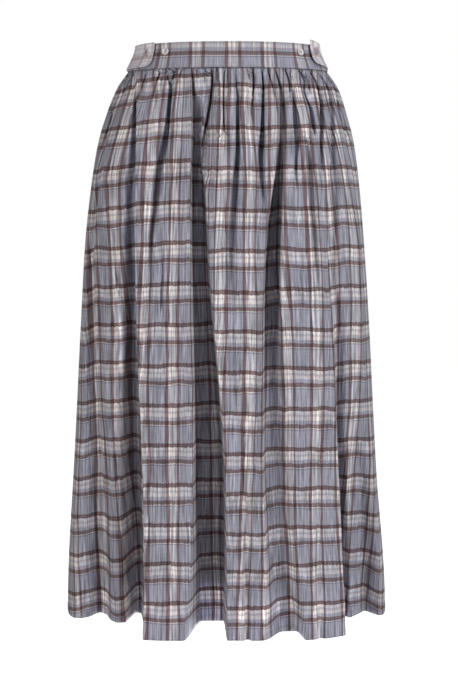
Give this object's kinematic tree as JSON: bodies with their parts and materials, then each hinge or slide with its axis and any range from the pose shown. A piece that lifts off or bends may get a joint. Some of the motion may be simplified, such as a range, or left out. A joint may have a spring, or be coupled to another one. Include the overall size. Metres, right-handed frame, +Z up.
{
  "type": "gathered skirt",
  "caption": "Long gathered skirt with a flat waistband, side adjuster tabs, buttons and a shorter inner lining, filled out as worn with open waist and hem.",
  "frame": {"origin": "middle of the waist, level with the top edge of the waistband", "axes": "+Z up, the front of the skirt faces -Y, +X to its right as seen from the front"},
  "size_m": [0.4444, 0.2974, 0.7974],
  "materials": {
    "plaid": "crinkled matt cotton plaid, blue-grey with brown and ivory lines",
    "lining": "thin smooth blue-grey lining",
    "button_mauve": "mauve, soft gloss",
    "button_pearl": "pale pearly gloss"
  },
  "bodies": {
    "root": {"waistband_front": "plaid", "waistband_back": "plaid", "skirt_front": "plaid", "skirt_back": "plaid", "lining_front": "lining", "lining_back": "lining", "tab_left": "plaid", "tab_right": "plaid", "button_tab_left": "button_mauve", "button_tab_right": "button_mauve", "button_band_left": "button_pearl", "button_band_right": "button_pearl"}
  },
  "joints": []
}
